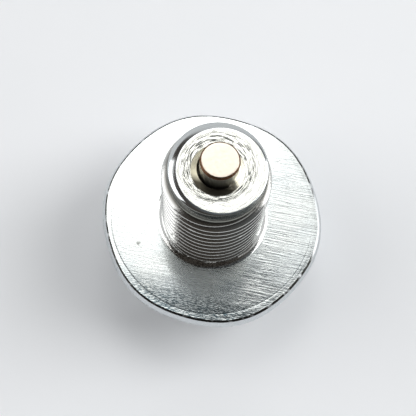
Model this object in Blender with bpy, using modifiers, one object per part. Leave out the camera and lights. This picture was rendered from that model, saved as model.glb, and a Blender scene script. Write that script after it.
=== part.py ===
"""Magnetic oil drain plug: a forged hex-flange plug with an M14 x 1.5 thread and a pin magnet in its nose.

The plug stands on the end face of its hexagon, with its axis on Z. The origin is the centre of that
end face. Two corners of the hexagon lie on the X axis. All sizes are in metres.
"""

import math

import bmesh
import bpy
from mathutils import Matrix

# Forged head: the hexagon, and its height from the end face to the sealing face of the flange
HEX_SIDES = 6
HEX_ACROSS_FLATS = 0.022
HEAD_HEIGHT = 0.0112
HEX_END_INSET = 0.0006
HEX_CHAMFER_ANGLE = math.radians(30)

# Flange: forged with the head, its upper face ground flat to seal
FLANGE_DIAMETER = 0.0305
FLANGE_FACE_DIAMETER = 0.0293
FLANGE_EDGE_THICKNESS = 0.0021
FLANGE_EDGE_DROP = 0.0010
FLANGE_LOWER_RADIUS = 0.0006
FLANGE_SLOPE = math.radians(24)
FACE_BEVEL_WIDTH = 0.0008
FACE_BEVEL_DROP = 0.00004

# Forging leaves the flange a little wider over the hexagon's corners and a little oval
LOBE_HEIGHT = 0.00013
OVAL_HEIGHT = 0.00012
OVAL_DIRECTION = math.radians(121)

# Rolled thread, ISO metric form
THREAD_DIAMETER = 0.0138
THREAD_PITCH = 0.0015
THREAD_DEPTH_PER_PITCH = 0.6134
THREAD_FLANK_ANGLE = math.radians(30)
THREAD_CREST_PER_PITCH = 0.125
THREAD_START_DIRECTION = math.radians(94)
THREAD_LEAD_IN = 0.0006
THREAD_RUN_OUT = 0.0009

# Blank that the thread was rolled on: its depth below the crest, and its fillet at the sealing face
BLANK_DEPTH_PER_PITCH = 0.267
BLANK_FILLET = 0.0012

# Plain nose above the thread, and the reach of its end from the sealing face
REACH = 0.01858
NOSE_DIAMETER = 0.01236
NOSE_LENGTH = 0.0023
NOSE_CHAMFER_WIDTH = 0.00088
NOSE_CHAMFER_DROP = 0.00035
NOSE_EDGE_RADIUS = 0.00025

# Pin magnet, glued in a drilled and countersunk bore, where it leans towards one side
MAGNET_DIAMETER = 0.0049
MAGNET_LENGTH = 0.0110
MAGNET_STANDOUT = 0.0024
MAGNET_CHAMFER = 0.0002
MAGNET_SHIFT = 0.00015
MAGNET_SHIFT_DIRECTION = math.radians(9)
MAGNET_CLEARANCE = 0.0003
COUNTERSINK_WIDTH = 0.0005
DRILL_POINT_ANGLE = math.radians(59)

# Facets of round forms
PLUG_SEGMENTS = 48
MAGNET_SEGMENTS = 40
ARC_STEPS = 5
SMOOTH_ANGLE = math.radians(28)
MERGE_DISTANCE = 0.00001

# Finishes: linear colour and roughness
STEEL_COLOUR = (0.60, 0.61, 0.62)
STEEL_ROUGHNESS = 0.28
MAGNET_COLOUR = (0.66, 0.60, 0.54)
MAGNET_ROUGHNESS = 0.35

# How far a tool form runs past the surface that it meets, and the share of a facet that it is
# turned by, so that its edges cross the body's facets and don't fall on their edges
TOOL_OVERRUN = 0.0002
TOOL_FACET_SHARE = 0.3

FLANGE_RADIUS = FLANGE_DIAMETER / 2
FACE_RADIUS = FLANGE_FACE_DIAMETER / 2
THREAD_RADIUS = THREAD_DIAMETER / 2
THREAD_DEPTH = THREAD_DEPTH_PER_PITCH * THREAD_PITCH
ROOT_RADIUS = THREAD_RADIUS - THREAD_DEPTH
BLANK_RADIUS = THREAD_RADIUS - BLANK_DEPTH_PER_PITCH * THREAD_PITCH
NOSE_RADIUS = NOSE_DIAMETER / 2
MAGNET_RADIUS = MAGNET_DIAMETER / 2
BORE_RADIUS = MAGNET_RADIUS + MAGNET_SHIFT + MAGNET_CLEARANCE
BORE_DEPTH = MAGNET_LENGTH - MAGNET_STANDOUT + MAGNET_CLEARANCE
FILLET_OUTER_RADIUS = BLANK_RADIUS + BLANK_FILLET
HEX_CORNER_RADIUS = HEX_ACROSS_FLATS / 2 / math.cos(math.pi / HEX_SIDES)
TOOL_TURN = 2 * math.pi / PLUG_SEGMENTS * TOOL_FACET_SHARE

FACE_Z = HEAD_HEIGHT
FILLET_TOP_Z = FACE_Z + BLANK_FILLET
NOSE_END_Z = FACE_Z + REACH
NOSE_START_Z = NOSE_END_Z - NOSE_LENGTH


def clear_scene():
    for old_object in list(bpy.data.objects):
        bpy.data.objects.remove(old_object)


def make_collection(name):
    collection = bpy.data.collections.new(name)
    bpy.context.scene.collection.children.link(collection)
    return collection


def make_material(name, colour, roughness):
    material = bpy.data.materials.new(name)
    material.use_nodes = True
    shader = material.node_tree.nodes["Principled BSDF"]
    shader.inputs["Base Color"].default_value = (*colour, 1.0)
    shader.inputs["Metallic"].default_value = 1.0
    shader.inputs["Roughness"].default_value = roughness
    return material


def arc(centre, radii, start, end):
    """Points of a quarter ellipse or a shorter arc, ends included, as (radius, height) pairs."""
    points = []
    for step in range(ARC_STEPS + 1):
        angle = start + (end - start) * step / ARC_STEPS
        points.append((centre[0] + radii[0] * math.cos(angle), centre[1] + radii[1] * math.sin(angle)))
    return points


def make_object(name, mesh, collection):
    made = bpy.data.objects.new(name, mesh)
    collection.objects.link(made)
    return made


def turned_mesh(name, profile, segments, start_angle=0.0, pitch=0.0, turns=1):
    """A (radius, height) profile turned about Z, or a closed one wound up a helix of the given pitch."""
    mesh = bpy.data.meshes.new(name + "_profile")
    edges = [(index, index + 1) for index in range(len(profile) - 1)]
    if pitch:
        edges.append((len(profile) - 1, 0))
    mesh.from_pydata([(radius, 0.0, height) for radius, height in profile], edges, [])
    blank = bpy.data.objects.new(name + "_profile", mesh)
    bpy.context.scene.collection.objects.link(blank)
    screw = blank.modifiers.new("turn", "SCREW")
    screw.axis = "Z"
    screw.steps = segments
    screw.render_steps = segments
    screw.screw_offset = pitch
    screw.iterations = turns
    screw.use_merge_vertices = not pitch
    screw.merge_threshold = MERGE_DISTANCE
    bpy.context.view_layer.update()
    evaluated = blank.evaluated_get(bpy.context.evaluated_depsgraph_get())
    turned = bpy.data.meshes.new_from_object(evaluated)
    turned.name = name
    turned.transform(Matrix.Rotation(start_angle, 4, "Z"))
    bpy.data.objects.remove(blank)
    bpy.data.meshes.remove(mesh)
    return turned


def smooth(mesh):
    mesh.shade_smooth()
    mesh.set_sharp_from_angle(angle=SMOOTH_ANGLE)


def add_boolean(target, tool, operation):
    modifier = target.modifiers.new(tool.name, "BOOLEAN")
    modifier.operation = operation
    modifier.solver = "EXACT"
    modifier.object = tool


def make_tool(name, mesh, collection):
    tool = make_object(name, mesh, collection)
    tool.hide_render = True
    tool.display_type = "WIRE"
    return tool


def bore_profile():
    """From the drill point up the wall of the bore to the rim of its countersink."""
    floor_z = NOSE_END_Z - BORE_DEPTH
    point_z = floor_z - BORE_RADIUS / math.tan(DRILL_POINT_ANGLE)
    return [
        (0.0, point_z),
        (BORE_RADIUS, floor_z),
        (BORE_RADIUS, NOSE_END_Z - COUNTERSINK_WIDTH),
        (BORE_RADIUS + COUNTERSINK_WIDTH, NOSE_END_Z),
    ]


def nose_profile():
    """From the flat end of the nose down its chamfer and side to the root of the thread."""
    flat_radius = NOSE_RADIUS - NOSE_CHAMFER_WIDTH
    chamfer_angle = math.atan2(NOSE_CHAMFER_DROP, NOSE_CHAMFER_WIDTH)
    edge_centre = (
        NOSE_RADIUS - NOSE_EDGE_RADIUS,
        NOSE_END_Z - NOSE_CHAMFER_DROP - NOSE_EDGE_RADIUS * math.tan((math.pi / 2 - chamfer_angle) / 2),
    )
    edge = arc(edge_centre, (NOSE_EDGE_RADIUS, NOSE_EDGE_RADIUS), math.pi / 2 - chamfer_angle, 0.0)
    return [(flat_radius, NOSE_END_Z), *edge, (NOSE_RADIUS, NOSE_START_Z), (ROOT_RADIUS, NOSE_START_Z)]


def flange_profile():
    """From the thread's root over its run-out, the fillet, sealing face and edge into the head."""
    fillet = arc(
        (FILLET_OUTER_RADIUS, FILLET_TOP_Z), (BLANK_FILLET, BLANK_FILLET), math.pi, 1.5 * math.pi
    )
    widest_z = FACE_Z - FLANGE_EDGE_DROP
    bevel_z = FACE_Z - FACE_BEVEL_DROP
    upper_edge = arc(
        (FACE_RADIUS, widest_z),
        (FLANGE_RADIUS - FACE_RADIUS, bevel_z - widest_z),
        math.pi / 2,
        0.0,
    )
    lower_centre = (
        FLANGE_RADIUS - FLANGE_LOWER_RADIUS,
        FACE_Z - FLANGE_EDGE_THICKNESS + FLANGE_LOWER_RADIUS,
    )
    lower_edge = arc(
        lower_centre,
        (FLANGE_LOWER_RADIUS, FLANGE_LOWER_RADIUS),
        0.0,
        -math.pi / 2 + FLANGE_SLOPE,
    )
    slope_end = lower_edge[-1]
    slope_start_z = slope_end[1] - (slope_end[0] - ROOT_RADIUS) * math.tan(FLANGE_SLOPE)
    return [
        (ROOT_RADIUS, FILLET_TOP_Z + THREAD_RUN_OUT),
        *fillet,
        (FACE_RADIUS - FACE_BEVEL_WIDTH, FACE_Z),
        *upper_edge,
        *lower_edge,
        (ROOT_RADIUS, slope_start_z),
        (0.0, slope_start_z),
    ]


def forge_outline(mesh):
    """Moves the flange's points in or out, more towards its edge, to its forged outline."""
    for vertex in mesh.vertices:
        radius = math.hypot(vertex.co.x, vertex.co.y)
        share = (radius - FILLET_OUTER_RADIUS) / (FACE_RADIUS - FILLET_OUTER_RADIUS)
        if share <= 0.0:
            continue
        angle = math.atan2(vertex.co.y, vertex.co.x)
        lobes = LOBE_HEIGHT * math.cos(HEX_SIDES * angle)
        swell = lobes + OVAL_HEIGHT * math.cos(2 * (angle - OVAL_DIRECTION))
        scale = 1.0 + swell * share / radius
        vertex.co.x *= scale
        vertex.co.y *= scale


def make_hexagon(tools):
    """The hexagon, running up into the flange, with the corners of its end face chamfered."""
    top_z = FACE_Z - FLANGE_EDGE_THICKNESS
    outline = [(0.0, top_z), (HEX_CORNER_RADIUS, top_z), (HEX_CORNER_RADIUS, 0.0), (0.0, 0.0)]
    hexagon = make_tool("hexagon", turned_mesh("hexagon", outline, HEX_SIDES), tools)

    end_radius = HEX_ACROSS_FLATS / 2 - HEX_END_INSET
    outer_radius = HEX_CORNER_RADIUS + TOOL_OVERRUN
    chamfer_z = (outer_radius - end_radius) * math.tan(HEX_CHAMFER_ANGLE)
    chamfer_profile = [
        (0.0, top_z + TOOL_OVERRUN),
        (outer_radius, top_z + TOOL_OVERRUN),
        (outer_radius, chamfer_z),
        (end_radius, 0.0),
        (0.0, 0.0),
    ]
    chamfer_mesh = turned_mesh("hexagon_chamfer", chamfer_profile, PLUG_SEGMENTS, TOOL_TURN)
    add_boolean(hexagon, make_tool("hexagon_chamfer", chamfer_mesh, tools), "INTERSECT")
    return hexagon


def make_thread(tools):
    """The thread's ridge, wound up from the sealing face and cut to a form that tapers at both ends."""
    foot_radius = ROOT_RADIUS - TOOL_OVERRUN
    crest_half = THREAD_PITCH * THREAD_CREST_PER_PITCH / 2
    foot_half = crest_half + (THREAD_RADIUS - foot_radius) * math.tan(THREAD_FLANK_ANGLE)
    low_z = FACE_Z
    high_z = NOSE_START_Z
    start_z = low_z - THREAD_PITCH
    turns = math.ceil((high_z + THREAD_PITCH - start_z) / THREAD_PITCH)
    ridge_profile = [
        (foot_radius, start_z + foot_half),
        (THREAD_RADIUS, start_z + crest_half),
        (THREAD_RADIUS, start_z - crest_half),
        (foot_radius, start_z - foot_half),
    ]
    mesh = turned_mesh(
        "thread_ridge", ridge_profile, PLUG_SEGMENTS, THREAD_START_DIRECTION, THREAD_PITCH, turns
    )
    form = bmesh.new()
    form.from_mesh(mesh)
    bmesh.ops.remove_doubles(form, verts=form.verts, dist=MERGE_DISTANCE)
    bmesh.ops.holes_fill(form, edges=[edge for edge in form.edges if edge.is_boundary])
    bmesh.ops.recalc_face_normals(form, faces=form.faces)
    form.to_mesh(mesh)
    form.free()
    ridge = make_tool("thread_ridge", mesh, tools)

    outer_radius = THREAD_RADIUS + TOOL_OVERRUN
    taper_scale = (outer_radius - foot_radius) / THREAD_DEPTH
    limit_profile = [
        (0.0, high_z),
        (foot_radius, high_z),
        (outer_radius, high_z - THREAD_LEAD_IN * taper_scale),
        (outer_radius, low_z + THREAD_RUN_OUT * taper_scale),
        (foot_radius, low_z),
        (0.0, low_z),
    ]
    limit_mesh = turned_mesh("thread_limit", limit_profile, PLUG_SEGMENTS, TOOL_TURN)
    add_boolean(ridge, make_tool("thread_limit", limit_mesh, tools), "INTERSECT")
    return ridge


def make_plug_body(parts, tools):
    profile = bore_profile() + nose_profile() + flange_profile()
    mesh = turned_mesh("plug_body", profile, PLUG_SEGMENTS)
    forge_outline(mesh)
    smooth(mesh)
    mesh.materials.append(make_material("zinc_plated_steel", STEEL_COLOUR, STEEL_ROUGHNESS))
    body = make_object("plug_body", mesh, parts)
    add_boolean(body, make_hexagon(tools), "UNION")
    add_boolean(body, make_thread(tools), "UNION")
    return body


def make_magnet(parts):
    """A chamfered pin, modelled from its lower end and set in the bore on the side that it leans to."""
    profile = [
        (0.0, MAGNET_LENGTH),
        (MAGNET_RADIUS - MAGNET_CHAMFER, MAGNET_LENGTH),
        (MAGNET_RADIUS, MAGNET_LENGTH - MAGNET_CHAMFER),
        (MAGNET_RADIUS, MAGNET_CHAMFER),
        (MAGNET_RADIUS - MAGNET_CHAMFER, 0.0),
        (0.0, 0.0),
    ]
    mesh = turned_mesh("magnet", profile, MAGNET_SEGMENTS)
    smooth(mesh)
    mesh.materials.append(make_material("nickel_plated_magnet", MAGNET_COLOUR, MAGNET_ROUGHNESS))
    magnet = make_object("magnet", mesh, parts)
    magnet.location = (
        MAGNET_SHIFT * math.cos(MAGNET_SHIFT_DIRECTION),
        MAGNET_SHIFT * math.sin(MAGNET_SHIFT_DIRECTION),
        NOSE_END_Z + MAGNET_STANDOUT - MAGNET_LENGTH,
    )
    return magnet


def main():
    clear_scene()
    parts = make_collection("oil_drain_plug")
    tools = make_collection("tool_forms")
    make_plug_body(parts, tools)
    make_magnet(parts)


main()
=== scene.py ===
"""Magnetic oil drain plug, standing on its hexagon with its nose up.

Sizes are in millimetres until a mesh or a lamp is made. Z runs up the plug's axis, and two corners
of the hexagon lie on X.
"""

import math
import random

import bpy
from mathutils import Matrix, Vector, noise


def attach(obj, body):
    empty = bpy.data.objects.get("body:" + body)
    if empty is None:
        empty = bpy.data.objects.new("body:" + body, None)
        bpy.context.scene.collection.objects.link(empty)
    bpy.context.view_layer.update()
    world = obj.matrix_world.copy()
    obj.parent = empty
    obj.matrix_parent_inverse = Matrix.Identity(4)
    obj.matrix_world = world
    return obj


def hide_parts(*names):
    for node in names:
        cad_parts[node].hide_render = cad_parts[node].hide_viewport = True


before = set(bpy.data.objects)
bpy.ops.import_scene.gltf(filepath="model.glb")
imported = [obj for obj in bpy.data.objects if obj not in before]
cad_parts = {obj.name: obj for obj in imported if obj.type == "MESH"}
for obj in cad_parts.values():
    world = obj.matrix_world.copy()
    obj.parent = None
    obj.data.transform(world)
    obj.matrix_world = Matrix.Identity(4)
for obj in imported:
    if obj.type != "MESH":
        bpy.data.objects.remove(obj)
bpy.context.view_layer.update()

# Plug body: one piece of steel. Its hexagon and flange are cold forged, the nose and bore are turned
# and drilled, the thread is rolled, the sealing face is ground, and bright zinc covers all of it.
# The mesh runs in rings from the end of the hexagon up to the nose and down to the drill point.
MM = 0.001
HEX_SIDES = 6
HEX_APOTHEM = 11.0
HEX_CORNER_ROUNDING = 0.4
HEX_END_RADIUS = 10.4
HEX_CHAMFER = math.radians(30)

FACE_Z = 11.2
FLANGE_RADIUS = 15.247
FLANGE_WIDEST_Z = 10.3
FLANGE_FACE_RADIUS = 14.68
FLANGE_SLOPE = math.radians(24)
FLANGE_SLOPE_RIM_Z = 9.31
BLANK_RADIUS = 6.5
BLANK_FILLET = 1.8
BLANK_FILLET_START = math.radians(20)

THREAD_PITCH = 1.5
THREAD_RADIUS = 6.9
ROOT_RADIUS = 5.98
THREAD_START_DIRECTION = math.radians(94)
THREAD_LEAD_IN = 0.8
THREAD_RUN_OUT = 1.2
ROOT_RUN_OUT = (0.5, 1.05)

NOSE_END_Z = 29.78
NOSE_START_Z = 27.48
NOSE_FOOT_RADIUS = 6.26
NOSE_RADIUS = 6.12
NOSE_CHAMFER_SLOPES = (0.62, 0.34)
NOSE_FLAT_RADIUS = 5.49
NOSE_FLAT_SHIFT = 0.52
NOSE_FLAT_DIRECTION = math.radians(-26)
BORE_RADIUS = 2.9
BORE_MOUTH_RADIUS = 3.3
BORE_MOUTH_SHIFT = 0.35
BORE_MOUTH_DIRECTION = math.radians(-81)
BORE_FLOOR_Z = 20.88
DRILL_POINT_Z = 19.14

FILLET_TOP_Z = FACE_Z + BLANK_FILLET * math.cos(BLANK_FILLET_START)
FILLET_OUTER_RADIUS = BLANK_RADIUS + BLANK_FILLET * (1 - math.sin(BLANK_FILLET_START))

# Columns stand closer together at the hexagon's corners, which are rounded
HALF_SIDE = 180 / HEX_SIDES
corner_columns = [0.0, 0.3, 0.6, 0.9, 1.3, 2.0, 3.2]
PLAIN_COLUMNS = 16
plain_step = (HALF_SIDE - corner_columns[-1]) / PLAIN_COLUMNS
half_side = corner_columns + [corner_columns[-1] + plain_step * k for k in range(1, PLAIN_COLUMNS + 1)]
side = half_side + [2 * HALF_SIDE - angle for angle in reversed(half_side[1:-1])]
columns = [math.radians(2 * HALF_SIDE * turn + angle) for turn in range(HEX_SIDES) for angle in side]

# The mesh of the piece that is being made
piece_points = []
piece_faces = []
piece_finishes = []
FORGED, GROUND, ROLLED, TURNED, FACED, GLUED, BURRED = range(7)


def rounded(outline, steps=4):
    """A (radius, height, corner radius) outline as points, each corner turned into a short arc."""
    points = [outline[0][:2]]
    for before, corner, after in zip(outline, outline[1:], outline[2:]):
        here = Vector(corner[:2])
        if corner[2] == 0:
            points.append(here[:])
            continue
        back = (Vector(before[:2]) - here).normalized()
        onward = (Vector(after[:2]) - here).normalized()
        half = back.angle(onward) / 2
        middle = here + (back + onward).normalized() * corner[2] / math.sin(half)
        start = here + back * corner[2] / math.tan(half) - middle
        end = here + onward * corner[2] / math.tan(half) - middle
        sweep = math.pi - 2 * half
        for step in range(steps + 1):
            part = sweep * step / steps
            arm = (start * math.sin(sweep - part) + end * math.sin(part)) / math.sin(sweep)
            points.append((middle + arm)[:])
    points.append(outline[-1][:2])
    return points


def waver(angle, height, size):
    """A smooth value from about -1 to 1 that wanders round the axis, in patches of the given size."""
    return noise.noise(Vector((math.cos(angle), math.sin(angle), height)) / size)


def hexagon_radius(angle):
    """The distance from the axis to the hexagon's rounded outline at one column."""
    off_corner = math.radians((math.degrees(angle) + HALF_SIDE) % (2 * HALF_SIDE) - HALF_SIDE)
    half = math.radians(HALF_SIDE)
    middle = (HEX_APOTHEM - HEX_CORNER_ROUNDING) / math.cos(half)
    tangent_x = middle + HEX_CORNER_ROUNDING * math.cos(half)
    if abs(off_corner) > math.atan2(HEX_CORNER_ROUNDING * math.sin(half), tangent_x):
        return HEX_APOTHEM / math.cos(half - abs(off_corner))
    reach = math.sqrt(HEX_CORNER_ROUNDING**2 - (middle * math.sin(off_corner)) ** 2)
    return middle * math.cos(off_corner) + reach


# The forged edge is fuller over the hexagon's corners, and a little oval
LOBE_SWELL = 0.13
OVAL_SWELL = 0.12
OVAL_DIRECTION = math.radians(121)
RIM_SWELL_SHARE = 1.086


def forged_swell(angle):
    """How far the flange's edge stands out at one column."""
    return LOBE_SWELL * math.cos(HEX_SIDES * angle) + OVAL_SWELL * math.cos(2 * (angle - OVAL_DIRECTION))


def blank_radius(height):
    """The rolled blank: its fillet, its plain shank, and the thread's run-out down to the root."""
    below_top = max(0.0, FILLET_TOP_Z - height)
    blank = BLANK_RADIUS + BLANK_FILLET - math.sqrt(BLANK_FILLET**2 - below_top**2)
    start, end = ROOT_RUN_OUT
    share = min(1.0, max(0.0, (height - FACE_Z - start) / (end - start)))
    return blank + (ROOT_RADIUS - blank) * share


fillet_heights = [FACE_Z + rise for rise in (0.008, 0.04, 0.1, 0.19, 0.31, 0.45)]

# The turned groove near the edge is deepest at the right front and shows thinly at the left, as the
# line round the fillet does. The edge of the ground face rolls off, but rises to a lip at the left front.
GROOVE_RADIUS = 13.9
GROOVE_DIRECTION = math.radians(-45)
GROOVE_DEPTH = 0.012
THIN_LINES_DIRECTION = math.radians(205)
THIN_GROOVE_DEPTH = 0.007
FILLET_LINE_DEPTH = 0.005
LIP_DIRECTION = math.radians(250)
EDGE_DROP = 0.04
LIP_RISE = 0.06


def facing(angle, direction):
    """1 for a column in the given direction, falling to 0 at both sides of it and behind."""
    return max(0.0, math.cos(angle - direction))


def edge_nick(angle):
    """How far small chips cut into the ground edge at one column."""
    fine = waver(angle, 3.0, 0.022)
    coarse = waver(angle, 7.0, 0.09)
    return 0.012 * coarse + 0.035 * max(0.0, fine - 0.12)


def head_outline(angle):
    """The forged head at one column: end chamfer, flat, flange underside and edge, ground face."""
    hexagon = hexagon_radius(angle)
    swell = forged_swell(angle)
    rim = FLANGE_RADIUS + RIM_SWELL_SHARE * swell
    edge = FLANGE_FACE_RADIUS + swell
    chamfer_z = (hexagon - HEX_END_RADIUS) * math.tan(HEX_CHAMFER)
    slope_z = FLANGE_SLOPE_RIM_Z - (FLANGE_RADIUS - hexagon) * math.tan(FLANGE_SLOPE)
    nick = edge_nick(angle)
    groove = GROOVE_RADIUS + 0.16 * waver(angle, 1.0, 0.9) + 0.02 * waver(angle, 2.0, 0.1)
    deep = 0.002 + GROOVE_DEPTH * facing(angle, GROOVE_DIRECTION) ** 2
    deep += THIN_GROOVE_DEPTH * facing(angle, THIN_LINES_DIRECTION) ** 2
    burr = 0.006 + 0.008 * waver(angle, 5.0, 0.12)
    bevel = 0.19 + 0.07 * math.cos(angle - GROOVE_DIRECTION)
    drop = EDGE_DROP - LIP_RISE * facing(angle, LIP_DIRECTION)
    line_depth = FILLET_LINE_DEPTH * facing(angle, THIN_LINES_DIRECTION) ** 2
    return rounded([
        (0.0, 0.0, 0.0),
        (0.8, 0.0, 0.0),
        (2.4, 0.0, 0.0),
        (4.6, 0.0, 0.0),
        (7.2, 0.0, 0.0),
        (HEX_END_RADIUS - 0.8, 0.0, 0.0),
        (HEX_END_RADIUS, 0.0, 0.18),
        (hexagon, chamfer_z, 0.12),
        (hexagon, chamfer_z + 0.4, 0.0),
        (hexagon, 2.8, 0.0),
        (hexagon, 5.0, 0.0),
        (hexagon, slope_z, 0.45),
        (hexagon + 0.75, slope_z + 0.75 * math.tan(FLANGE_SLOPE), 0.0),
        (rim, FLANGE_SLOPE_RIM_Z, 0.6),
        (rim, FLANGE_WIDEST_Z, 0.55),
        (edge + bevel - nick, FACE_Z - drop - 0.6 * bevel, 0.04),
        (edge - nick, FACE_Z - drop, 0.03),
        (edge - 0.06 - nick, FACE_Z - drop + burr, 0.02),
        (edge - 0.15, FACE_Z - 0.85 * drop, 0.0),
        (edge - 0.40, FACE_Z - 0.4 * drop, 0.0),
        (groove + 0.07, FACE_Z - 0.004, 0.0),
        (groove, FACE_Z - deep, 0.0),
        (groove - 0.06, FACE_Z, 0.0),
        (groove - 0.16, FACE_Z, 0.0),
        (12.8, FACE_Z, 0.0),
        (11.2, FACE_Z, 0.0),
        (9.6, FACE_Z, 0.0),
        (8.2, FACE_Z, 0.0),
        (FILLET_OUTER_RADIUS + 0.2, FACE_Z, 0.0),
        (FILLET_OUTER_RADIUS + 0.10, FACE_Z, 0.0),
        (FILLET_OUTER_RADIUS + 0.04, FACE_Z - line_depth, 0.0),
        (FILLET_OUTER_RADIUS - 0.02, FACE_Z, 0.0),
        *[(blank_radius(height), height, 0.0) for height in fillet_heights],
    ], steps=5)


def add_ring(points):
    first = len(piece_points)
    piece_points.extend(points)
    return list(range(first, len(piece_points)))


def add_face(corners, finish):
    corners = list(dict.fromkeys(corners))
    if len(corners) > 2:
        piece_faces.append(corners)
        piece_finishes.append(finish)


def skin(inner, outer, finish):
    """Faces between two rings of the same number of points."""
    for here, there in zip(range(-1, len(inner) - 1), range(len(inner))):
        add_face((inner[here], inner[there], outer[there], outer[here]), finish)


def polar(radius, angle, height):
    return (radius * math.cos(angle), radius * math.sin(angle), height)


def add_outline(outline_at, ring, finish_at):
    """Rings along an outline that may differ from column to column, joined on to a first ring."""
    outlines = [outline_at(angle) for angle in columns]
    for row, (radius, height) in enumerate(outlines[0]):
        if radius == 0.0:
            new_ring = add_ring([(0.0, 0.0, height)]) * len(columns)
        else:
            places = [outline[row] for outline in outlines]
            new_ring = add_ring([polar(r, angle, z) for angle, (r, z) in zip(columns, places)])
        if ring:
            skin(ring, new_ring, finish_at(radius, height))
        ring = new_ring
    return ring


def head_finish(radius, height):
    if FACE_Z - 0.13 < height < FACE_Z - 0.01 and radius > FLANGE_FACE_RADIUS - 0.03:
        return BURRED
    if FACE_Z + 0.01 < height and radius < FILLET_OUTER_RADIUS:
        return ROLLED
    if height > FACE_Z - 0.06 and radius < FLANGE_FACE_RADIUS + 0.1:
        return GROUND
    return FORGED


low_ring = add_outline(head_outline, None, head_finish)

# The nose: a slightly tapered land under a shallow, swelling chamfer, and an end face turned flat. The
# chamfer was cut off its centre, and so was the countersink. The magnet's adhesive fills the gap as a
# collar.
MAGNET_RADIUS = 2.45
MAGNET_SHIFT = 0.15
MAGNET_SHIFT_DIRECTION = math.radians(9)
ADHESIVE_DEPTH = 1.1
ADHESIVE_HEIGHT = 0.9
ADHESIVE_FULL_DIRECTION = math.radians(20)


def shifted_circle(angle, radius, shift, direction):
    """The distance from the axis to a circle whose centre is shifted in the given direction."""
    along = shift * math.cos(angle - direction)
    aside = shift * math.sin(angle - direction)
    return along + math.sqrt(radius**2 - aside**2)


def nose_outline(angle):
    """The nose at one column, from the top of the thread over the end face and down the bore."""
    mouth = shifted_circle(angle, BORE_MOUTH_RADIUS, BORE_MOUTH_SHIFT, BORE_MOUTH_DIRECTION)
    mouth += 0.02 * waver(angle, 6.0, 0.3)
    wet = shifted_circle(angle, MAGNET_RADIUS + 0.01, MAGNET_SHIFT, MAGNET_SHIFT_DIRECTION)
    flat = shifted_circle(angle, NOSE_FLAT_RADIUS, NOSE_FLAT_SHIFT, NOSE_FLAT_DIRECTION)
    width = NOSE_RADIUS - flat
    swell_z = NOSE_END_Z - 0.55 * width * NOSE_CHAMFER_SLOPES[1]
    edge_z = swell_z - 0.45 * width * NOSE_CHAMFER_SLOPES[0]
    full = min(1.0, max(0.0, 2.0 * math.cos(angle - ADHESIVE_FULL_DIRECTION) - 0.4))
    depth = ADHESIVE_DEPTH + (0.07 - ADHESIVE_DEPTH) * full * full * (3.0 - 2.0 * full)
    depth += 0.02 * waver(angle, 8.0, 0.4)
    shelf = min(0.35, 0.8 * depth)
    return rounded([
        (ROOT_RADIUS, NOSE_START_Z, 0.0),
        (NOSE_FOOT_RADIUS - 0.06, NOSE_START_Z, 0.0),
        (NOSE_FOOT_RADIUS, NOSE_START_Z + 0.08, 0.03),
        (NOSE_RADIUS + 0.045, NOSE_START_Z + 0.28, 0.02),
        (NOSE_RADIUS + 0.04, NOSE_START_Z + 0.4, 0.0),
        (NOSE_RADIUS + 0.01, NOSE_START_Z + 1.1, 0.0),
        (NOSE_RADIUS, edge_z - 0.2, 0.0),
        (NOSE_RADIUS, edge_z, min(0.15, 0.25 * width)),
        (NOSE_RADIUS - 0.45 * width, swell_z, 1.4 * width),
        (flat, NOSE_END_Z, min(0.3, width)),
        (flat - 0.2, NOSE_END_Z, 0.0),
        (4.5, NOSE_END_Z, 0.0),
        (4.4, NOSE_END_Z - 0.012, 0.0),
        (4.3, NOSE_END_Z, 0.0),
        (mouth + 0.2, NOSE_END_Z, 0.0),
        (mouth, NOSE_END_Z, 0.06),
        (BORE_RADIUS, NOSE_END_Z - 0.6 * shelf, 0.02),
        (wet + 0.5 * (BORE_RADIUS - wet), NOSE_END_Z - shelf, 0.0),
        (wet + 0.4 * (BORE_RADIUS - wet), NOSE_END_Z - depth, 0.0),
        (wet, NOSE_END_Z - depth + 0.03, 0.0),
        (wet, NOSE_END_Z - ADHESIVE_DEPTH - ADHESIVE_HEIGHT, 0.0),
        (BORE_RADIUS, NOSE_END_Z - ADHESIVE_DEPTH - ADHESIVE_HEIGHT, 0.0),
        (BORE_RADIUS, NOSE_END_Z - 4.0, 0.0),
        (BORE_RADIUS, BORE_FLOOR_Z, 0.0),
        (BORE_RADIUS / 3, DRILL_POINT_Z + (BORE_FLOOR_Z - DRILL_POINT_Z) / 3, 0.0),
        (0.0, DRILL_POINT_Z, 0.0),
    ])[1:]


def nose_finish(radius, height):
    if height > NOSE_END_Z - 0.02 and radius < NOSE_FLAT_RADIUS + NOSE_FLAT_SHIFT - 0.2:
        return FACED
    return GLUED if radius < BORE_RADIUS + 0.4 else TURNED


high_ring = add_ring([polar(ROOT_RADIUS, angle, NOSE_START_Z) for angle in columns])
add_outline(nose_outline, high_ring, nose_finish)

# The thread: rows of points follow the helix, and join the rings at both ends where they meet them.
# Its profile runs from the middle of the worn crest down to the middle of the root, and up again.
crest_to_root = [
    (0.0, 6.900), (0.041, 6.895), (0.08, 6.879), (0.113, 6.853), (0.139, 6.820),
    (0.28, 6.576), (0.44, 6.300), (0.57, 6.082), (0.66, 6.000), (0.75, 5.980),
]
root_to_crest = [(THREAD_PITCH - along, radius) for along, radius in reversed(crest_to_root[1:-1])]
thread_rows = crest_to_root + root_to_crest
NICKS = 34
dice = random.Random(14)
thread_nicks = []
for _ in range(NICKS):
    thread_nicks.append((dice.uniform(2.0, 11.0), dice.uniform(0.02, 0.05), dice.uniform(0.02, 0.07)))


def soft_max(one, other, blend=0.06):
    """The larger of two values, with a small round where they cross."""
    near = max(0.0, blend - abs(one - other)) / blend
    return max(one, other) + near * near * blend / 4


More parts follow.
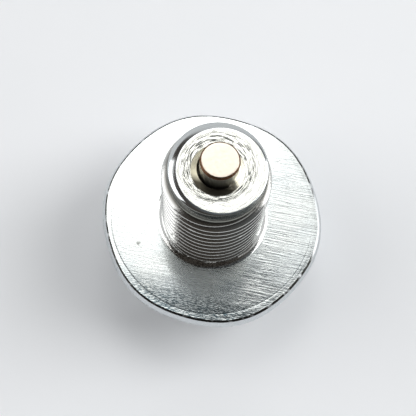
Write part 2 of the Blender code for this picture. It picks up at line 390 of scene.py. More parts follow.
def thread_radius(row_radius, along, turn, height):
    """The row's radius: worn at the crest, nicked here and there, and fading out at both ends."""
    crest_share = max(0.0, (row_radius - ROOT_RADIUS) / (THREAD_RADIUS - ROOT_RADIUS) - 0.6) / 0.4
    wear = 0.012 * noise.noise(Vector((turn * 9.0, 4.0, 0.0)))
    for place, width, depth in thread_nicks:
        wear += depth * math.exp(-(((turn - place) / width * 6.0) ** 2))
    crest_z = height - along + (THREAD_PITCH if along > THREAD_PITCH / 2 else 0.0)
    formed = min(
        1.0,
        (NOSE_START_Z - crest_z + 0.1) / THREAD_LEAD_IN,
        (crest_z - FACE_Z + 0.55) / THREAD_RUN_OUT,
    )
    ridge = (row_radius - wear * crest_share - ROOT_RADIUS) * max(0.0, formed)
    return soft_max(blank_radius(height), ROOT_RADIUS + ridge)


# A point of the thread that is closer to an end ring than this is the ring's own point
SNAP = 0.03
low_ring_z = fillet_heights[-1]
thread_start_z = FACE_Z - 2 * THREAD_PITCH
turns = math.ceil((NOSE_START_Z - thread_start_z) / THREAD_PITCH) + 1
thread_grid = []
for turn in range(turns):
    for along, row_radius in thread_rows:
        line = []
        for index, angle in enumerate(columns):
            share = ((angle - THREAD_START_DIRECTION) / (2 * math.pi)) % 1.0
            column_turn = turn + share
            height = thread_start_z + THREAD_PITCH * column_turn + along
            if height < low_ring_z + SNAP:
                line.append(low_ring[index])
            elif height > NOSE_START_Z - SNAP:
                line.append(high_ring[index])
            else:
                radius = thread_radius(row_radius, along, column_turn, height)
                line += add_ring([polar(radius, angle, height)])
        thread_grid.append(line)
rows_per_turn = len(thread_rows)
seam = next(i for i, angle in enumerate(columns) if angle >= THREAD_START_DIRECTION)
for row in range(len(thread_grid) - 1):
    for here, there in zip(range(-1, len(columns) - 1), range(len(columns))):
        shift = rows_per_turn if there == seam else 0
        if row + shift + 1 >= len(thread_grid):
            continue
        lower = thread_grid[row][here], thread_grid[row + shift][there]
        upper = thread_grid[row + shift + 1][there], thread_grid[row + 1][here]
        add_face((*lower, *upper), ROLLED)


def make_piece(name, points, faces, finishes):
    """A mesh object from points in millimetres, smooth but for its hard edges."""
    mesh = bpy.data.meshes.new(name)
    mesh.from_pydata([Vector(point) * MM for point in points], [], faces)
    mesh.polygons.foreach_set("material_index", finishes)
    mesh.shade_smooth()
    mesh.set_sharp_from_angle(angle=math.radians(38))
    piece = bpy.data.objects.new(name, mesh)
    bpy.context.scene.collection.objects.link(piece)
    weighted = piece.modifiers.new("flat_faces_stay_flat", "WEIGHTED_NORMAL")
    weighted.keep_sharp = True
    return piece


plug_body = make_piece("drain_plug_body", piece_points, piece_faces, piece_finishes)


def linear(hex_colour):
    """The linear colour of an sRGB hex value."""
    channels = [int(hex_colour[place:place + 2], 16) / 255 for place in (1, 3, 5)]
    return (*[c / 12.92 if c <= 0.04045 else ((c + 0.055) / 1.055) ** 2.4 for c in channels], 1.0)


def add_node(tree, kind, sockets, **settings):
    """One node with its settings, each socket given a value or linked to another node's output."""
    made = tree.nodes.new("ShaderNode" + kind)
    for name, value in settings.items():
        setattr(made, name, value)
    for socket, value in sockets.items():
        if isinstance(value, bpy.types.NodeSocket):
            tree.links.new(value, made.inputs[socket])
        else:
            made.inputs[socket].default_value = value
    return made


def start_metal(name, roughness):
    """A metal's material: its tree, its shader, and the place on the piece in metres."""
    material = bpy.data.materials.new(name)
    material.use_nodes = True
    tree = material.node_tree
    shader = tree.nodes["Principled BSDF"]
    shader.inputs["Metallic"].default_value = 1.0
    shader.inputs["Roughness"].default_value = roughness
    place = add_node(tree, "TexCoord", {}).outputs["Object"]
    return material, tree, shader, place


# Zinc-plated steel, forged: a bright bluish plating over forging scale that was tumbled smooth.
# It shines softly, over low bumps about 1 mm wide, with fine scratches from the tumbling barrel.
forged, tree, shader, place = start_metal("zinc_plated_steel_forged", 0.3)
bumps = add_node(tree, "TexNoise", {"Vector": place, "Scale": 1 / (1.1 * MM), "Detail": 3.0})
grain = add_node(tree, "TexNoise", {"Vector": place, "Scale": 1 / (0.22 * MM), "Detail": 2.0})
scratch_place = add_node(
    tree, "Mapping",
    {"Vector": place, "Rotation": (0.4, 0.7, 0.9), "Scale": (3 * MM, 0.12 * MM, 3 * MM)},
    vector_type="TEXTURE",
)
scratches = add_node(tree, "TexNoise", {"Vector": scratch_place.outputs[0], "Scale": 1.0, "Detail": 1.0})
scratch_depth = add_node(
    tree, "MapRange",
    {"Value": scratches.outputs[0], "From Min": 0.62, "From Max": 0.75, "To Min": 0.0, "To Max": 0.5},
)
relief = add_node(
    tree, "Math", {0: grain.outputs[0], 1: 0.25, 2: bumps.outputs[0]}, operation="MULTIPLY_ADD"
)
relief = add_node(
    tree, "Math", {0: relief.outputs[0], 1: scratch_depth.outputs[0]}, operation="SUBTRACT"
)
bump = add_node(tree, "Bump", {"Height": relief.outputs[0], "Distance": 0.012 * MM, "Strength": 1.0})
# Sockets 6 and 7 of a Mix are its two colours, and output 2 is the colour between them
tint = add_node(
    tree, "Mix",
    {0: bumps.outputs[0], 6: linear("#C9CED2"), 7: linear("#DADDDE")},
    data_type="RGBA",
)
shine = add_node(
    tree, "MapRange",
    {"Value": grain.outputs[0], "From Min": 0.3, "From Max": 0.7, "To Min": 0.22, "To Max": 0.36},
)
tree.links.new(tint.outputs[2], shader.inputs["Base Color"])
tree.links.new(shine.outputs[0], shader.inputs["Roughness"])
tree.links.new(bump.outputs[0], shader.inputs["Normal"])

# Zinc-plated steel, ground: straight marks from the surface grinder under the plating, all one way.
# Each mark throws the light off to its own side, so dark and white streaks lie next to each other.
# Grinding marks are some 0.05 mm apart; here they are 0.12 mm apart and more, so that they show.
# Towards the front the colour is painted darker blue-grey in short flecks, as painted shade. The plating
# is frosted in front of the thread, and a small grey stain lies on the left.
MARK_DIRECTION = math.radians(3.7)
FROST_PLACE = (0.8 * MM, -9.4 * MM, FACE_Z * MM)
STAIN_PLACE = (-8.6 * MM, -6.7 * MM, FACE_Z * MM)
ground, tree, shader, place = start_metal("zinc_plated_steel_ground", 0.2)


def marks_along(length, width, low, high):
    """Ridges along the grinding marks: noise of that length and width, cut off below and above."""
    stretched = add_node(
        tree, "Mapping",
        {
            "Vector": place,
            "Rotation": (0.0, 0.0, MARK_DIRECTION),
            "Scale": (length * MM, width * MM, 4 * MM),
        },
        vector_type="TEXTURE",
    )
    found = add_node(tree, "TexNoise", {"Vector": stretched.outputs[0], "Scale": 1.0, "Detail": 2.0})
    ridges = add_node(
        tree, "MapRange",
        {"Value": found.outputs[0], "From Min": low, "From Max": high, "To Min": 0.0, "To Max": 1.0},
        interpolation_type="SMOOTHSTEP",
    )
    return ridges.outputs[0]


long_marks = marks_along(9.0, 0.2, 0.45, 0.55)
short_marks = marks_along(1.6, 0.16, 0.45, 0.57)
flecks = marks_along(0.5, 0.12, 0.46, 0.55)
patches = add_node(tree, "TexNoise", {"Vector": place, "Scale": 1 / (5 * MM), "Detail": 2.0})
split = add_node(tree, "SeparateXYZ", {0: place})
crisp = add_node(
    tree, "MapRange",
    {"Value": split.outputs[0], "From Min": -2 * MM, "From Max": 7 * MM, "To Min": 0.22, "To Max": 1.7},
    interpolation_type="SMOOTHSTEP",
)
relief = add_node(tree, "Math", {0: long_marks, 1: crisp.outputs[0]}, operation="MULTIPLY")
relief = add_node(tree, "Math", {0: short_marks, 1: 0.28, 2: relief.outputs[0]}, operation="MULTIPLY_ADD")
towards_front = add_node(
    tree, "MapRange",
    {"Value": split.outputs[1], "From Min": -9.5 * MM, "From Max": -13 * MM, "To Min": 0.0, "To Max": 1.0},
)
fleck_share = add_node(
    tree, "Math", {0: towards_front.outputs[0], 1: 0.2, 2: 0.3}, operation="MULTIPLY_ADD"
)
relief = add_node(
    tree, "Math", {0: flecks, 1: fleck_share.outputs[0], 2: relief.outputs[0]}, operation="MULTIPLY_ADD"
)
bump = add_node(tree, "Bump", {"Height": relief.outputs[0], "Distance": 0.0035 * MM, "Strength": 1.0})
tint = add_node(
    tree, "Mix",
    {0: patches.outputs[0], 6: linear("#C7CDCE"), 7: linear("#DBDCD7")},
    data_type="RGBA",
)
shine = add_node(
    tree, "MapRange",
    {"Value": long_marks, "From Min": 0.0, "From Max": 1.0, "To Min": 0.08, "To Max": 0.14},
)
frosted = add_node(
    tree, "VectorMath",
    {0: place, 1: FROST_PLACE},
    operation="DISTANCE",
)
frost = add_node(
    tree, "MapRange",
    {
        "Value": frosted.outputs["Value"],
        "From Min": 1.2 * MM, "From Max": 4.2 * MM,
        "To Min": 0.16, "To Max": 0.0,
    },
)
shine = add_node(tree, "Math", {0: shine.outputs[0], 1: frost.outputs[0]}, operation="ADD")
spot = add_node(
    tree, "VectorMath",
    {0: place, 1: STAIN_PLACE},
    operation="DISTANCE",
)
spread = add_node(
    tree, "MapRange",
    {
        "Value": spot.outputs["Value"],
        "From Min": 0.1 * MM, "From Max": 1.3 * MM,
        "To Min": 0.7, "To Max": 0.0,
    },
)
grain = add_node(tree, "TexNoise", {"Vector": place, "Scale": 1 / (0.9 * MM), "Detail": 1.0})
stain = add_node(tree, "Math", {0: spread.outputs[0], 1: grain.outputs[0]}, operation="MULTIPLY")
stained = add_node(
    tree, "MapRange",
    {"Value": stain.outputs[0], "From Min": 0.24, "From Max": 0.4, "To Min": 0.0, "To Max": 1.0},
)
# Painted shade: towards the front the colour darkens to blue-grey, most in the flecks.
shaded_flecks = add_node(tree, "Math", {0: flecks, 1: 0.7, 2: 0.3}, operation="MULTIPLY_ADD")
front_shade = add_node(
    tree, "Math", {0: shaded_flecks.outputs[0], 1: towards_front.outputs[0]}, operation="MULTIPLY"
)
front_shaded_tint = add_node(
    tree, "Mix",
    {0: front_shade.outputs[0], 6: tint.outputs[2], 7: linear("#5A676B")},
    data_type="RGBA",
)
skin_tint = add_node(
    tree, "Mix",
    {0: stained.outputs[0], 6: front_shaded_tint.outputs[2], 7: linear("#55554F")},
    data_type="RGBA",
)
tree.links.new(skin_tint.outputs[2], shader.inputs["Base Color"])
tree.links.new(shine.outputs[0], shader.inputs["Roughness"])
tree.links.new(bump.outputs[0], shader.inputs["Normal"])

# Zinc-plated steel, thread-rolled: burnished by the dies and finely pitted. Its colour is painted bright at
# the crests and darker and brownish in the roots, as painted shade. Dark patches of painted shade lie in
# the corner at the front.
rolled, tree, shader, place = start_metal("zinc_plated_steel_rolled", 0.25)
split = add_node(tree, "SeparateXYZ", {0: place})
across = add_node(tree, "CombineXYZ", {0: split.outputs[0], 1: split.outputs[1], 2: 0.0})
radius = add_node(tree, "VectorMath", {0: across.outputs[0]}, operation="LENGTH").outputs["Value"]
depth = add_node(
    tree, "MapRange",
    {"Value": radius, "From Min": 6.25 * MM, "From Max": 6.82 * MM, "To Min": 0.0, "To Max": 1.0},
)
rolling_place = add_node(
    tree, "Mapping",
    {"Vector": place, "Scale": (1.4 * MM, 1.4 * MM, 0.12 * MM)},
    vector_type="TEXTURE",
)
rolling = add_node(tree, "TexNoise", {"Vector": rolling_place.outputs[0], "Scale": 1.0, "Detail": 3.0})
pits = add_node(tree, "TexNoise", {"Vector": place, "Scale": 1 / (0.16 * MM), "Detail": 2.0})
relief = add_node(
    tree, "Math", {0: rolling.outputs[0], 1: 0.35, 2: pits.outputs[0]}, operation="MULTIPLY_ADD"
)
bump = add_node(tree, "Bump", {"Height": relief.outputs[0], "Distance": 0.009 * MM, "Strength": 1.0})
# Painted shade: the colour darkens from the crests down into the roots, where shade falls.
metal = add_node(
    tree, "Mix",
    {0: depth.outputs[0], 6: linear("#56544F"), 7: linear("#CACBC9")},
    data_type="RGBA",
)
# Painted shade: dark patches in the corner by the sealing face, towards the front.
corner = add_node(
    tree, "MapRange",
    {
        "Value": split.outputs[2],
        "From Min": (FACE_Z + 0.5) * MM, "From Max": (FACE_Z + 1.5) * MM,
        "To Min": 1.0, "To Max": 0.0,
    },
)
front_shading = add_node(
    tree, "MapRange",
    {"Value": split.outputs[1], "From Min": -3.5 * MM, "From Max": -6.5 * MM, "To Min": 0.0, "To Max": 1.0},
)
painted_corner_shade = add_node(tree, "Math", {0: corner.outputs[0], 1: front_shading.outputs[0]}, operation="MULTIPLY")
patchy = add_node(
    tree, "MapRange",
    {"Value": pits.outputs[0], "From Min": 0.4, "From Max": 0.58, "To Min": 0.0, "To Max": 1.0},
)
painted_corner_shade = add_node(tree, "Math", {0: painted_corner_shade.outputs[0], 1: patchy.outputs[0]}, operation="MULTIPLY")
tint = add_node(
    tree, "Mix",
    {0: painted_corner_shade.outputs[0], 6: metal.outputs[2], 7: linear("#56544F")},
    data_type="RGBA",
)
shine = add_node(
    tree, "MapRange",
    {"Value": depth.outputs[0], "To Min": 0.26, "To Max": 0.14},
)
tree.links.new(tint.outputs[2], shader.inputs["Base Color"])
tree.links.new(shine.outputs[0], shader.inputs["Roughness"])
tree.links.new(bump.outputs[0], shader.inputs["Normal"])

# Zinc-plated steel, turned: the chamfer and the land of the nose came off the lathe smooth, with faint
# tool lines some 0.1 mm apart round the axis. The land under the chamfer is painted darker, as shade.
turned, tree, shader, place = start_metal("zinc_plated_steel_turned", 0.13)
line_place = add_node(
    tree, "Mapping",
    {"Vector": place, "Scale": (1.5 * MM, 1.5 * MM, 0.1 * MM)},
    vector_type="TEXTURE",
)
lines = add_node(tree, "TexNoise", {"Vector": line_place.outputs[0], "Scale": 1.0, "Detail": 2.0})
bump = add_node(tree, "Bump", {"Height": lines.outputs[0], "Distance": 0.0016 * MM, "Strength": 1.0})
metal = add_node(
    tree, "Mix",
    {0: lines.outputs[0], 6: linear("#B8BDC0"), 7: linear("#CED1D0")},
    data_type="RGBA",
)
split = add_node(tree, "SeparateXYZ", {0: place})
across = add_node(tree, "CombineXYZ", {0: split.outputs[0], 1: split.outputs[1], 2: 0.0})
radius = add_node(tree, "VectorMath", {0: across.outputs[0]}, operation="LENGTH").outputs["Value"]
shaded_land = add_node(
    tree, "MapRange",
    {
        "Value": radius,
        "From Min": (NOSE_RADIUS - 0.06) * MM, "From Max": (NOSE_RADIUS - 0.01) * MM,
        "To Min": 0.0, "To Max": 1.0,
    },
)
# Painted shade: the land under the chamfer is coloured darker grey.
tint = add_node(
    tree, "Mix",
    {0: shaded_land.outputs[0], 6: metal.outputs[2], 7: linear("#82837D")},
    data_type="RGBA",
)
tree.links.new(tint.outputs[2], shader.inputs["Base Color"])
tree.links.new(bump.outputs[0], shader.inputs["Normal"])

# Zinc-plated steel, faced: the end was cut flat with a coarse feed, which left rings 0.12 mm apart and
# more. They are broken, and torn most deeply near the bore, where the tears show dark.
faced, tree, shader, place = start_metal("zinc_plated_steel_faced", 0.22)
split = add_node(tree, "SeparateXYZ", {0: place})
across = add_node(tree, "CombineXYZ", {0: split.outputs[0], 1: split.outputs[1], 2: 0.0})
radius = add_node(tree, "VectorMath", {0: across.outputs[0]}, operation="LENGTH").outputs["Value"]
cut_place = add_node(tree, "CombineXYZ", {0: split.outputs[0], 1: split.outputs[1], 2: radius})


def rings_along(length, width, low, high):
    """Broken rings round the axis: noise of that length and width, cut off below and above."""
    ring_place = add_node(
        tree, "Mapping",
        {"Vector": cut_place.outputs[0], "Scale": (length * MM, length * MM, width * MM)},
        vector_type="TEXTURE",
    )
    found = add_node(tree, "TexNoise", {"Vector": ring_place.outputs[0], "Scale": 1.0, "Detail": 2.0})
    ridges = add_node(
        tree, "MapRange",
        {"Value": found.outputs[0], "From Min": low, "From Max": high, "To Min": 0.0, "To Max": 1.0},
        interpolation_type="SMOOTHSTEP",
    )
    return ridges.outputs[0]


long_rings = rings_along(4.5, 0.16, 0.44, 0.58)
torn_rings = rings_along(1.2, 0.12, 0.48, 0.6)
near_bore = add_node(
    tree, "MapRange",
    {"Value": radius, "From Min": 4.1 * MM, "From Max": 5.1 * MM, "To Min": 1.0, "To Max": 0.3},
)
torn = add_node(tree, "Math", {0: torn_rings, 1: near_bore.outputs[0]}, operation="MULTIPLY")
relief = add_node(
    tree, "Math", {0: long_rings, 1: near_bore.outputs[0], 2: torn.outputs[0]}, operation="MULTIPLY_ADD"
)
bump = add_node(tree, "Bump", {"Height": relief.outputs[0], "Distance": 0.007 * MM, "Strength": 1.0})
tint = add_node(
    tree, "Mix",
    {0: torn.outputs[0], 6: linear("#DEDED6"), 7: linear("#525452")},
    data_type="RGBA",
)
tree.links.new(tint.outputs[2], shader.inputs["Base Color"])
tree.links.new(bump.outputs[0], shader.inputs["Normal"])

# Burr of the ground edge: painted as a dark line of shade along it. It is worn through to bright zinc
# here and there, and painted bright all along the right, where the light falls.
LIT_SIDE_DIRECTION = math.radians(12)
burred, tree, shader, place = start_metal("burr_of_ground_edge_painted_shade", 0.4)
wear = add_node(tree, "TexNoise", {"Vector": place, "Scale": 1 / (0.9 * MM), "Detail": 4.0})
bare_and_lit = add_node(
    tree, "MapRange",
    {"Value": wear.outputs[0], "From Min": 0.55, "From Max": 0.72, "To Min": 0.0, "To Max": 1.0},
)
reach = add_node(
    tree, "VectorMath",
    {0: place, 1: (math.cos(LIT_SIDE_DIRECTION), math.sin(LIT_SIDE_DIRECTION), 0.0)},
    operation="DOT_PRODUCT",
)
lit_side = add_node(
    tree, "MapRange",
    {
        "Value": reach.outputs["Value"],
        "From Min": 13.7 * MM, "From Max": 14.2 * MM,
        "To Min": 0.0, "To Max": 1.0,
    },
)
bare_and_lit = add_node(tree, "Math", {0: bare_and_lit.outputs[0], 1: lit_side.outputs[0]}, operation="MAXIMUM")
bump = add_node(tree, "Bump", {"Height": wear.outputs[0], "Distance": 0.02 * MM, "Strength": 1.0})
# Painted shade: the dark colour along the edge. Painted light: the bright colour along the right.
tint = add_node(
    tree, "Mix",
    {0: bare_and_lit.outputs[0], 6: linear("#3A3A38"), 7: linear("#C8CCCD")},
    data_type="RGBA",
)
tree.links.new(tint.outputs[2], shader.inputs["Base Color"])
tree.links.new(bump.outputs[0], shader.inputs["Normal"])

# Bore: its drilled and countersunk wall is smeared with set adhesive, thin and yellowish white over the
# zinc near the mouth. Deep in the gap and at the front it is painted brownish black, as painted shade.
smeared_and_shaded, tree, shader, place = start_metal("adhesive_and_painted_shade_in_bore", 0.32)
smears = add_node(tree, "TexNoise", {"Vector": place, "Scale": 1 / (0.3 * MM), "Detail": 3.0})
split = add_node(tree, "SeparateXYZ", {0: place})
depth = add_node(
    tree, "MapRange",
    {
        "Value": split.outputs[2],
        "From Min": (NOSE_END_Z - 0.8) * MM, "From Max": (NOSE_END_Z - 0.1) * MM,
        "To Min": 0.0, "To Max": 1.0,
    },
)
film = add_node(tree, "Math", {0: smears.outputs[0], 1: depth.outputs[0]}, operation="ADD")
thin = add_node(
    tree, "MapRange",
    {"Value": film.outputs[0], "From Min": 0.66, "From Max": 0.9, "To Min": 0.0, "To Max": 1.0},
)
front_shading = add_node(
    tree, "MapRange",
    {
        "Value": split.outputs[1],
        "From Min": -2.4 * MM, "From Max": -1.4 * MM,
        "To Min": 0.08, "To Max": 1.0,
    },
)
bare_and_lit = add_node(tree, "Math", {0: thin.outputs[0], 1: front_shading.outputs[0]}, operation="MULTIPLY")
bump = add_node(tree, "Bump", {"Height": smears.outputs[0], "Distance": 0.02 * MM, "Strength": 1.0})
# Painted shade: the colour goes brownish black deeper in the gap and towards the front.
tint = add_node(
    tree, "Mix",
    {0: bare_and_lit.outputs[0], 6: linear("#2A2620"), 7: linear("#EFEBDA")},
    data_type="RGBA",
)
tree.links.new(tint.outputs[2], shader.inputs["Base Color"])
tree.links.new(bump.outputs[0], shader.inputs["Normal"])

for finish in (forged, ground, rolled, turned, faced, smeared_and_shaded, burred):
    plug_body.data.materials.append(finish)
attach(plug_body, "root")
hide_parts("plug_body")

# Magnet: a sintered pin with a nickel plating, chamfered at both ends and glued into the bore,
# where it sits a little off centre. It stands 2.4 mm out of the nose.
MAGNET_TOP_Z = 32.18
MAGNET_FOOT_Z = 21.18
MAGNET_CHAMFER = 0.2
PLATED_END, PLATED_WALL, WORN_RIM = range(3)
magnet_shift = Vector(polar(MAGNET_SHIFT, MAGNET_SHIFT_DIRECTION, 0.0))
magnet_outline = rounded([
    (0.0, MAGNET_FOOT_Z, 0.0),
    (1.2, MAGNET_FOOT_Z, 0.0),
    (MAGNET_RADIUS - MAGNET_CHAMFER, MAGNET_FOOT_Z, 0.04),
    (MAGNET_RADIUS, MAGNET_FOOT_Z + MAGNET_CHAMFER, 0.04),
    (MAGNET_RADIUS, MAGNET_FOOT_Z + 3.0, 0.0),
    (MAGNET_RADIUS, MAGNET_TOP_Z - 4.0, 0.0),
    (MAGNET_RADIUS, MAGNET_TOP_Z - 1.0, 0.0),
    (MAGNET_RADIUS, MAGNET_TOP_Z - MAGNET_CHAMFER, 0.04),
    (MAGNET_RADIUS - 0.5 * MAGNET_CHAMFER, MAGNET_TOP_Z - 0.5 * MAGNET_CHAMFER, 0.0),
    (MAGNET_RADIUS - MAGNET_CHAMFER, MAGNET_TOP_Z, 0.05),
    (MAGNET_RADIUS - 0.5, MAGNET_TOP_Z, 0.0),
    (1.2, MAGNET_TOP_Z, 0.0),
    (0.0, MAGNET_TOP_Z, 0.0),
])


def magnet_column(angle):
    """The pin's outline at one column. Its rim is chipped a little, and worn wider at the front."""
    worn = 0.12 * max(0.0, -math.sin(angle))
    column = []
    for radius, height in magnet_outline:
        rim_share = max(0.0, 1.0 - abs(radius - MAGNET_RADIUS + 0.1) / 0.15) * (height > MAGNET_TOP_Z - 0.3)
        chip = 0.07 * max(0.0, waver(angle, 11.0, 0.11)) * rim_share
        if height > MAGNET_TOP_Z - 0.05 and radius > MAGNET_RADIUS - 0.4:
            chip += worn
        column.append((radius - chip, height))
    return column


def magnet_finish(radius, height):
    if height < MAGNET_TOP_Z - MAGNET_CHAMFER - 0.01:
        return PLATED_WALL
    return WORN_RIM if radius > MAGNET_RADIUS - 0.97 * MAGNET_CHAMFER else PLATED_END


MAGNET_COLUMNS = 120
columns = [math.tau * k / MAGNET_COLUMNS for k in range(MAGNET_COLUMNS)]
piece_points, piece_faces, piece_finishes = [], [], []
add_outline(magnet_column, None, magnet_finish)
magnet_points = [Vector(point) + magnet_shift for point in piece_points]
magnet = make_piece("magnet_pin", magnet_points, piece_faces, piece_finishes)

# Nickel-plated magnet, ground end: satin and warm white, with the grain of the sintered pin in it
end_plating, tree, shader, place = start_metal("nickel_plated_magnet_end", 0.34)
grain = add_node(tree, "TexNoise", {"Vector": place, "Scale": 1 / (0.5 * MM), "Detail": 3.0})
bump = add_node(tree, "Bump", {"Height": grain.outputs[0], "Distance": 0.01 * MM, "Strength": 1.0})
tint = add_node(
    tree, "Mix",
    {0: grain.outputs[0], 6: linear("#D8CBBA"), 7: linear("#F0E6D8")},
    data_type="RGBA",
)
tree.links.new(tint.outputs[2], shader.inputs["Base Color"])
tree.links.new(bump.outputs[0], shader.inputs["Normal"])

# Nickel-plated magnet, wall: greyer, with fine upright scuffs from being pressed into the bore
wall_plating, tree, shader, place = start_metal("nickel_plated_magnet_wall", 0.3)
scuff_place = add_node(
    tree, "Mapping",
    {"Vector": place, "Scale": (0.25 * MM, 0.25 * MM, 2.5 * MM)},
    vector_type="TEXTURE",
)
scuffs = add_node(tree, "TexNoise", {"Vector": scuff_place.outputs[0], "Scale": 1.0, "Detail": 3.0})
bump = add_node(tree, "Bump", {"Height": scuffs.outputs[0], "Distance": 0.02 * MM, "Strength": 1.0})
tint = add_node(
    tree, "Mix",
    {0: scuffs.outputs[0], 6: linear("#BCBAB0"), 7: linear("#E8E6DC")},
    data_type="RGBA",
)
tree.links.new(tint.outputs[2], shader.inputs["Base Color"])
tree.links.new(bump.outputs[0], shader.inputs["Normal"])

# Worn rim of the magnet: on the chamfer the nickel is thin, and the copper layer under it shows brown
rim_plating, tree, shader, place = start_metal("worn_rim_copper_brown", 0.42)
wear = add_node(tree, "TexNoise", {"Vector": place, "Scale": 1 / (0.4 * MM), "Detail": 3.0})
bump = add_node(tree, "Bump", {"Height": wear.outputs[0], "Distance": 0.02 * MM, "Strength": 1.0})
tint = add_node(
    tree, "Mix",
    {0: wear.outputs[0], 6: linear("#38281E"), 7: linear("#86644C")},
    data_type="RGBA",
)
tree.links.new(tint.outputs[2], shader.inputs["Base Color"])
tree.links.new(bump.outputs[0], shader.inputs["Normal"])

for finish in (end_plating, wall_plating, rim_plating):
    magnet.data.materials.append(finish)
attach(magnet, "root")
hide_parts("magnet")

# Studio: a pale matt floor under the plug, nearly as pale at its edge as the surround behind it
FLOOR_RADIUS = 560
FLOOR_CORNERS = 96
floor_mesh = bpy.data.meshes.new("studio_floor")
floor_rim = [polar(FLOOR_RADIUS, math.tau * k / FLOOR_CORNERS, 0.0) for k in range(FLOOR_CORNERS)]
floor_mesh.from_pydata([Vector(corner) * MM for corner in floor_rim], [], [list(range(FLOOR_CORNERS))])
floor = bpy.data.objects.new("studio_floor", floor_mesh)
bpy.context.scene.collection.objects.link(floor)
paper = bpy.data.materials.new("matt_white_paper")
paper.use_nodes = True
tree = paper.node_tree
shader = tree.nodes["Principled BSDF"]
place = add_node(tree, "TexCoord", {}).outputs["Object"]
fibres = add_node(tree, "TexNoise", {"Vector": place, "Scale": 1 / (30 * MM), "Detail": 3.0})
tint = add_node(
    tree, "Mix",
    {0: fibres.outputs[0], 6: linear("#EEF0F2"), 7: linear("#F2F3F5")},
    data_type="RGBA",
)
tree.links.new(tint.outputs[2], shader.inputs["Base Color"])
shader.inputs["Roughness"].default_value = 0.9
shader.inputs["Specular IOR Level"].default_value = 0.2
floor.data.materials.append(paper)

# The camera stands where the photograph's did, 136 mm from the sealing face
VIEW_TURN = math.radians(8.8)
CAMERA_TILT = math.radians(18.451)
CAMERA_ROLL = math.radians(-6.158)
CAMERA_DISTANCE = 136.332
CAMERA_OFF_AXIS = (0.680, -0.899)
FRAME_PIXELS = 416
FOCAL_PIXELS = 988.351
SENSOR_WIDTH = 36.0

plug_turn = Matrix.Rotation(VIEW_TURN, 3, "Z")
towards = plug_turn @ Vector((0.0, -math.sin(CAMERA_TILT), math.cos(CAMERA_TILT)))
view_up = plug_turn @ Vector((0.0, math.cos(CAMERA_TILT), math.sin(CAMERA_TILT)))
view_right = plug_turn @ Vector((1.0, 0.0, 0.0))
stand = CAMERA_DISTANCE * towards - CAMERA_OFF_AXIS[0] * view_right - CAMERA_OFF_AXIS[1] * view_up
stand += Vector((0.0, 0.0, FACE_Z))
right = math.cos(CAMERA_ROLL) * view_right - math.sin(CAMERA_ROLL) * view_up
up = math.sin(CAMERA_ROLL) * view_right + math.cos(CAMERA_ROLL) * view_up
camera_data = bpy.data.cameras.new("camera")
camera_data.sensor_fit = "HORIZONTAL"
camera_data.sensor_width = SENSOR_WIDTH
camera_data.lens = FOCAL_PIXELS / FRAME_PIXELS * SENSOR_WIDTH
camera_data.clip_start = 0.01
camera = bpy.data.objects.new("camera", camera_data)
camera.matrix_world = Matrix.Translation(stand * MM) @ Matrix((right, up, towards)).transposed().to_4x4()
bpy.context.scene.collection.objects.link(camera)
bpy.context.scene.camera = camera


def add_softbox(name, azimuth, elevation, distance, width, height, roll, radiance, colour):
    """A flat soft light that faces the plug. Its place is in degrees and millimetres from the plug,
    as the camera sees it: azimuth 0 is to the right and 90 is behind the plug.
    """
    lamp = bpy.data.lights.new(name, "AREA")
    lamp.shape = "RECTANGLE"
    lamp.size = width * MM
    lamp.size_y = height * MM
    lamp.energy = radiance * math.pi * width * height * MM**2
    lamp.color = linear(colour)[:3]
    softbox = bpy.data.objects.new(name, lamp)
    out = Matrix.Rotation(math.radians(azimuth), 3, "Z") @ Matrix.Rotation(math.radians(-elevation), 3, "Y")
    backward = plug_turn @ out @ Vector((1.0, 0.0, 0.0))
    across = plug_turn @ out @ Vector((0.0, 1.0, 0.0))
    upward = backward.cross(across)
    turn = Matrix((across, upward, backward)).transposed() @ Matrix.Rotation(math.radians(roll), 3, "Z")
    centre = backward * distance + Vector((0.0, 0.0, FACE_Z))
    softbox.matrix_world = Matrix.Translation(centre * MM) @ turn.to_4x4()
    bpy.context.scene.collection.objects.link(softbox)


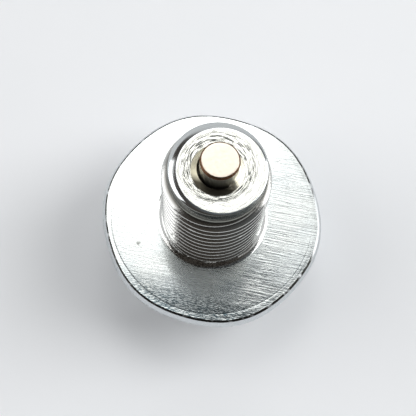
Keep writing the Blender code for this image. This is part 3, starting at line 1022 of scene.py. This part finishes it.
# Two softboxes hang crossed behind the plug, and one on each side. The right one is the strongest,
# and throws the shadow to the left.
add_softbox("back_softbox_1", 102.6, 61.5, 680, 340, 260, 52, 1.7, "#FFFFFF")
add_softbox("back_softbox_2", 83.1, 60.6, 690, 400, 260, -29, 1.3, "#FFFFFF")
add_softbox("left_softbox", 178.5, 36.5, 750, 660, 350, 0, 2.5, "#FFFFFF")
add_softbox("right_softbox", 17, 42, 750, 520, 446, 0, 5.0, "#FFFFFF")

# The surround is a dark room overhead and on the camera's side, with pale walls behind the plug. Its
# ceiling is a little lighter straight up and to the right. The camera itself sees it pale all round.
world = bpy.data.worlds.new("surround")
bpy.context.scene.world = world
world.use_nodes = True
tree = world.node_tree
direction = add_node(tree, "TexCoord", {}).outputs["Generated"]
seen = add_node(tree, "Mapping", {"Vector": direction, "Rotation": (0.0, 0.0, -VIEW_TURN)})
split = add_node(tree, "SeparateXYZ", {0: seen.outputs[0]})
rise = add_node(
    tree, "Math", {0: split.outputs[1], 1: -0.19, 2: split.outputs[2]}, operation="MULTIPLY_ADD"
)
overhead = add_node(
    tree, "MapRange",
    {"Value": rise.outputs[0], "From Min": 0.37, "From Max": 0.45, "To Min": 0.0, "To Max": 1.0},
    interpolation_type="SMOOTHSTEP",
)
towards_lamp = add_node(
    tree, "Math", {0: split.outputs[0], 1: 0.35, 2: split.outputs[2]}, operation="MULTIPLY_ADD"
)
glow = add_node(
    tree, "MapRange",
    {"Value": towards_lamp.outputs[0], "From Min": 0.7, "From Max": 1.0, "To Min": 0.0, "To Max": 1.0},
)
ceiling = add_node(
    tree, "Mix",
    {0: glow.outputs[0], 6: linear("#4C4742"), 7: linear("#71777B")},
    data_type="RGBA",
)
shade = add_node(
    tree, "Mix",
    {0: overhead.outputs[0], 6: linear("#F0F1F2"), 7: ceiling.outputs[2]},
    data_type="RGBA",
)
rays = add_node(tree, "LightPath", {})
backdrop = add_node(
    tree, "Mix",
    {0: rays.outputs["Is Camera Ray"], 6: shade.outputs[2], 7: linear("#E6E8EA")},
    data_type="RGBA",
)
background = tree.nodes["Background"]
tree.links.new(backdrop.outputs[2], background.inputs["Color"])

bpy.context.scene.view_settings.view_transform = "Standard"
